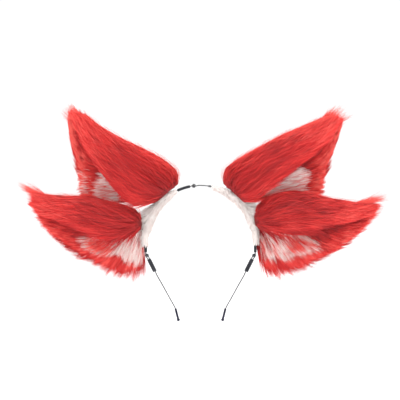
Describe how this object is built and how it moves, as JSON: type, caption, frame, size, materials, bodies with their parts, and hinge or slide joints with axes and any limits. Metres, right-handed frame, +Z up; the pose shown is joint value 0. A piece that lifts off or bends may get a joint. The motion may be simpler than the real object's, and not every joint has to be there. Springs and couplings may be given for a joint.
{
  "type": "animal ears headband",
  "caption": "Folding wire headband with long-pile faux-fur animal ears, a white plush wrap, hinged wire legs and rubber tips.",
  "frame": {"origin": "underside of the band at its top centre, where it rests on the head", "axes": "+Z up, -Y towards the front, +X to the right in the front view"},
  "size_m": [0.413, 0.039, 0.2503],
  "materials": {
    "steel": "drawn wire, lightly polished",
    "sleeve_rubber": "matt shrink sleeve",
    "tip_rubber": "smooth moulded rubber",
    "white_plush": "short white plush",
    "red_fur": "long combed faux fur, silky sheen",
    "red_lining": "dense red underfur",
    "white_tuft": "long white faux fur",
    "felt": "pressed felt",
    "thread": "sewing thread"
  },
  "bodies": {
    "right_half": {"right_arc_wire": "steel", "top_ferrule": "steel", "top_hinge_rivet": "steel", "right_band_plush": "white_plush", "right_end_sleeve": "sleeve_rubber", "right_hinge_rivet": "steel", "right_upper_ear_fur": "red_fur", "right_upper_ear_lining": "red_lining", "right_upper_ear_tuft": "white_tuft", "right_upper_ear_wire": "steel", "right_upper_ear_pad": "felt", "right_upper_ear_stitch_a": "thread", "right_upper_ear_stitch_b": "thread", "right_lower_ear_fur": "red_fur", "right_lower_ear_lining": "red_lining", "right_lower_ear_tuft": "white_tuft", "right_lower_ear_wire": "steel", "right_lower_ear_pad": "felt", "right_lower_ear_stitch_a": "thread", "right_lower_ear_stitch_b": "thread"},
    "left_half": {"left_arc_wire": "steel", "left_top_sleeve": "sleeve_rubber", "left_band_plush": "white_plush", "left_end_sleeve": "sleeve_rubber", "left_hinge_rivet": "steel", "left_upper_ear_fur": "red_fur", "left_upper_ear_lining": "red_lining", "left_upper_ear_tuft": "white_tuft", "left_upper_ear_wire": "steel", "left_upper_ear_pad": "felt", "left_upper_ear_stitch_a": "thread", "left_upper_ear_stitch_b": "thread", "left_lower_ear_fur": "red_fur", "left_lower_ear_lining": "red_lining", "left_lower_ear_tuft": "white_tuft", "left_lower_ear_wire": "steel", "left_lower_ear_pad": "felt", "left_lower_ear_stitch_a": "thread", "left_lower_ear_stitch_b": "thread"},
    "left_leg": {"left_leg_wire": "steel", "left_leg_sleeve": "sleeve_rubber", "left_leg_tip": "tip_rubber"},
    "right_leg": {"right_leg_wire": "steel", "right_leg_sleeve": "sleeve_rubber", "right_leg_tip": "tip_rubber"}
  },
  "joints": [
    {"name": "top_fold", "type": "hinge", "parent": "right_half", "child": "left_half", "pos_m": [-0.008, 0, 0.00016], "axis": [0, 0, 1], "range_deg": [-120, 120]},
    {"name": "left_leg_fold", "type": "hinge", "parent": "left_half", "child": "left_leg", "pos_m": [-0.0643, 0, -0.0832], "axis": [0, -1, 0], "range_deg": [-26, 120]},
    {"name": "right_leg_fold", "type": "hinge", "parent": "right_half", "child": "right_leg", "pos_m": [0.0643, 0, -0.0832], "axis": [0, 1, 0], "range_deg": [-26, 120]}
  ]
}
